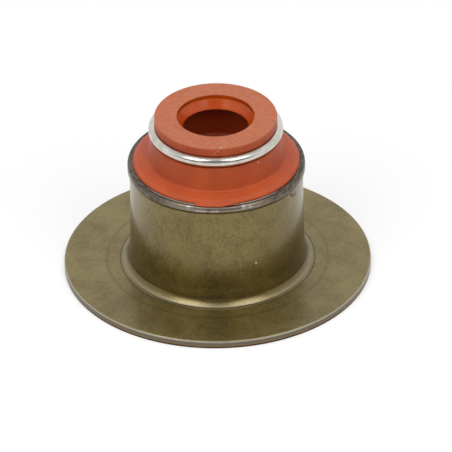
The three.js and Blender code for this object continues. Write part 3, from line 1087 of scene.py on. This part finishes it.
def moulded_rubber(groups):
    """Orange fluoroelastomer: faint clouds, a fine moulded skin, a ground face and painted highlights along
    two edges.
    """
    material, tree, shader = new_material("orange_moulded_rubber")
    clouds = mottle(tree, groups, RUBBER_CLOUD_SCALE, 5.0)
    grain = mottle(tree, groups, RUBBER_GRAIN_SCALE, 3.0)
    lines = streaks(tree, groups, RUBBER_LINE_SCALE, RUBBER_LINE_ALONG, 0.35, 0.65)
    radius, height = turned_place(tree)[:2]
    bore = compute(tree, "LESS_THAN", radius, (MOUTH_RADIUS + BORE_MARGIN) * MM)
    skin = inverse(tree, bore)
    face = band(tree, groups, SEAL_HEIGHT - FACE_DEPTH, SEAL_HEIGHT + ABOVE_ALL, FACE_SOFT, FACE_RAGGED)

    colour = blend_colour(tree, clouds, RUBBER_DARK, RUBBER)
    deeper = times(tree, times(tree, lines, LINE_SHARE), skin)
    colour = blend_colour(tree, deeper, colour, RUBBER_DEEP)
    paler = times(tree, times(tree, grain, RUBBER_GRAIN_SHARE), skin)
    colour = blend_colour(tree, paler, colour, RUBBER_PALE)
    colour = blend_colour(tree, pale_rubber(tree, groups, face, lines), colour, RUBBER_PALE)
    deep = times(tree, below_lip(tree, radius, height), BORE_SHADE_SHARE)
    colour = blend_colour(tree, deep, colour, BORE_SHADE)
    colour = blend_colour(tree, bare_marks(tree, groups), colour, RUBBER_SKIN)

    rough = remap(tree, grain, 0.0, 1.0, RUBBER_SMOOTHEST, RUBBER_ROUGHEST)
    rough = compute(tree, "ADD", rough, times(tree, face, FACE_ROUGHER))
    rough = compute(tree, "SUBTRACT", rough, times(tree, bore, BORE_SMOOTHER))
    relief = times(tree, compute(tree, "ADD", times(tree, grain, 0.5), times(tree, lines, 0.5)), skin)
    feed(tree, shader, {"Base_Color": colour, "Roughness": rough, "Specular_IOR_Level": RUBBER_GLOSS,
                        "Normal": bumped(tree, relief, RUBBER_RELIEF * MM)})
    return material


def flash_rubber(groups):
    """Thin torn flash, almost without colour where it is stretched."""
    material, tree, shader = new_material("pale_torn_flash")
    patches = mottle(tree, groups, FLASH_SCALE, 3.0, 0.35, 0.65)
    colour = blend_colour(tree, patches, FLASH_DARK, FLASH_PALE)
    feed(tree, shader, {"Base_Color": colour, "Roughness": remap(tree, patches, 0.0, 1.0, 0.4, 0.6),
                        "Normal": bumped(tree, patches, FLASH_RELIEF * MM)})
    return material


# Ring: finish

WIRE_BRIGHT = (0.66, 0.64, 0.59, 1)
WIRE_TARNISHED = (0.52, 0.50, 0.44, 1)
WIRE_LINE_SCALE = 14000.0
WIRE_LINE_ALONG = 0.03
TARNISH_SCALE = 900.0
WIRE_SMOOTHEST = 0.10
WIRE_ROUGHEST = 0.16
WIRE_RELIEF = 0.0008


def spring_wire(groups):
    """Bright drawn wire: fine lines along the wire and faint tarnish."""
    material, tree, shader = new_material("bright_spring_wire")
    lines = streaks(tree, groups, WIRE_LINE_SCALE, WIRE_LINE_ALONG, 0.3, 0.7)
    tarnish = mottle(tree, groups, TARNISH_SCALE, 5.0)
    colour = blend_colour(tree, tarnish, WIRE_TARNISHED, WIRE_BRIGHT)
    rough = remap(tree, lines, 0.0, 1.0, WIRE_SMOOTHEST, WIRE_ROUGHEST)
    feed(tree, shader, {"Base_Color": colour, "Metallic": 1.0, "Roughness": rough,
                        "Normal": bumped(tree, lines, WIRE_RELIEF * MM)})
    return material


# Studio

CAMERA_DISTANCE = 0.8
CAMERA_ELEVATION = 33.15
CAMERA_ROLL = -0.8
CAMERA_LENS = 650.5
CAMERA_NEAR = 0.05
CAMERA_FAR = 20.0
SENSOR = 36.0
AIM_RIGHT = 0.86 * MM
AIM_UP = 3.605 * MM
SOFTBOX_AZIMUTH = 43
SOFTBOX_ELEVATION = 50
SOFTBOX_DISTANCE = 0.9
SOFTBOX_WIDTH = 0.42
SOFTBOX_HEIGHT = 0.55
LEFT_POWER = 2.4
RIGHT_POWER = 2.1
TOP_LAMP_HEIGHT = 1.0
TOP_LAMP_SIZE = 0.6
TOP_LAMP_POWER = 3.3
SKY_LIGHT = 0.30
SKY_SHADE = 0.70
OVERHEAD_SHADE = 0.4
OVERHEAD_START = 0.62
OVERHEAD_STOP = 0.85
FLOOR_WHITE = 0.55
FLOOR_GLOW = 0.47
FLOOR_ROUGHNESS = 0.9
FLOOR_HALF = 3.0
FLOOR_LEVEL = -0.01 * MM
WHITE = (1, 1, 1, 1)


def make_camera():
    """Long lens at the photograph's height, aimed a little above and right of the origin."""
    data = bpy.data.cameras.new("camera")
    data.lens, data.sensor_width = CAMERA_LENS, SENSOR
    data.clip_start, data.clip_end = CAMERA_NEAR, CAMERA_FAR
    camera = bpy.data.objects.new("camera", data)
    bpy.context.scene.collection.objects.link(camera)
    tilt, roll = math.radians(CAMERA_ELEVATION), math.radians(CAMERA_ROLL)
    back = np.array([0, -math.cos(tilt), math.sin(tilt)])
    up = np.array([0, math.sin(tilt), math.cos(tilt)])
    camera.location = back * CAMERA_DISTANCE + up * AIM_UP + np.array([AIM_RIGHT, 0, 0])
    camera.rotation_mode = "QUATERNION"
    face = Vector(-back).to_track_quat("-Z", "Y")
    camera.rotation_quaternion = face @ Quaternion((0, 0, 1), roll)
    bpy.context.scene.camera = camera


def make_lamp(name, azimuth, elevation, distance, width, height, power):
    """An area lamp that faces the seal from that azimuth and elevation, in degrees."""
    data = bpy.data.lights.new(name, "AREA")
    data.shape, data.size, data.size_y, data.energy = "RECTANGLE", width, height, power
    lamp = bpy.data.objects.new(name, data)
    bpy.context.scene.collection.objects.link(lamp)
    turn, rise = math.radians(azimuth), math.radians(elevation)
    toward = Vector((math.sin(turn) * math.cos(rise), -math.cos(turn) * math.cos(rise), math.sin(rise)))
    lamp.location = toward * distance
    lamp.rotation_mode = "QUATERNION"
    lamp.rotation_quaternion = toward.to_track_quat("Z", "Y")
    return lamp


def make_lamps():
    """A soft box on either side of the camera, and a wide lamp overhead that no reflection shows."""
    for name, azimuth, power in (("left_softbox", -SOFTBOX_AZIMUTH, LEFT_POWER),
                                 ("right_softbox", SOFTBOX_AZIMUTH, RIGHT_POWER)):
        make_lamp(name, azimuth, SOFTBOX_ELEVATION, SOFTBOX_DISTANCE, SOFTBOX_WIDTH, SOFTBOX_HEIGHT, power)
    top = make_lamp("top_lamp", 0, 90, TOP_LAMP_HEIGHT, TOP_LAMP_SIZE, TOP_LAMP_SIZE, TOP_LAMP_POWER)
    top.visible_glossy = False


def not_diffuse(tree):
    """1 on what the camera, a reflection or glass sees, 0 on what only gives light."""
    paths = add(tree, "ShaderNodeLightPath").outputs
    return largest(tree, paths["Is Camera Ray"], paths["Is Glossy Ray"], paths["Is Transmission Ray"])


def make_world():
    """White to the camera and soft as a source of light; in reflections, dark overhead and in front.

    The dark share reaches OVERHEAD_SHADE where the direction's height passes OVERHEAD_STOP, and 1 where
    it points to the front above the horizon, between the soft boxes.
    """
    world = bpy.data.worlds.new("studio")
    bpy.context.scene.world = world
    world.use_nodes = True
    tree = world.node_tree
    direction = add(tree, "ShaderNodeTexCoord").outputs["Generated"]
    y, z = add(tree, "ShaderNodeSeparateXYZ", Vector=direction).outputs[1:]
    front = times(tree, remap(tree, y, -0.2, -0.7), remap(tree, z, -0.05, 0.1))
    dark = largest(tree, remap(tree, z, OVERHEAD_START, OVERHEAD_STOP, 0.0, OVERHEAD_SHADE), front)
    glossy = add(tree, "ShaderNodeLightPath").outputs["Is Glossy Ray"]
    shade = times(tree, times(tree, dark, glossy), SKY_SHADE)
    seen = remap(tree, not_diffuse(tree), 0.0, 1.0, SKY_LIGHT, 1.0)
    tree.nodes["Background"].inputs["Color"].default_value = WHITE
    tree.links.new(compute(tree, "SUBTRACT", seen, shade), tree.nodes["Background"].inputs["Strength"])


def make_floor():
    """A wide pale sheet just under the flange, seen from above only."""
    mesh = bpy.data.meshes.new("floor")
    corners = [(right * FLOOR_HALF, back * FLOOR_HALF, FLOOR_LEVEL)
               for right, back in ((-1, -1), (1, -1), (1, 1), (-1, 1))]
    mesh.from_pydata(corners, [], [(0, 1, 2, 3)])
    material, tree, shader = new_material("pale_paper")
    feed(tree, shader, {"Base_Color": (FLOOR_WHITE, FLOOR_WHITE, FLOOR_WHITE, 1),
                        "Roughness": FLOOR_ROUGHNESS,
                        "Specular_IOR_Level": 0.0, "Emission_Color": WHITE,
                        "Emission_Strength": times(tree, not_diffuse(tree), FLOOR_GLOW)})
    under = add(tree, "ShaderNodeNewGeometry").outputs["Backfacing"]
    clear = add(tree, "ShaderNodeBsdfTransparent").outputs[0]
    mix = add(tree, "ShaderNodeMixShader", i0=under, i1=shader.outputs[0], i2=clear)
    tree.links.new(mix.outputs[0], tree.nodes["Material Output"].inputs["Surface"])
    mesh.materials.append(material)
    floor = bpy.data.objects.new("floor", mesh)
    bpy.context.scene.collection.objects.link(floor)


def main():
    bpy.context.scene.view_settings.view_transform = "Standard"
    make_camera()
    groups = make_groups()
    casing_azimuths = spaced_azimuths(CASING_TURN_STEPS, CHIP_PACK, *GAP_PACKS)
    casing = turned("casing_with_spring_seat", casing_profile(), casing_azimuths, casing_relief,
                    chromated_steel(groups))
    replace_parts(casing, "steel_casing")
    rubber_azimuths = spaced_azimuths(RUBBER_TURN_STEPS, *GAP_PACKS)
    rubber = turned("rubber_body", rubber_profile(), rubber_azimuths, rubber_relief, moulded_rubber(groups))
    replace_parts(rubber, "rubber_seal")
    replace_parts(make_ring(spring_wire(groups)), "tension_ring")
    make_thread(flash_rubber(groups))
    make_world()
    make_floor()
    make_lamps()


main()
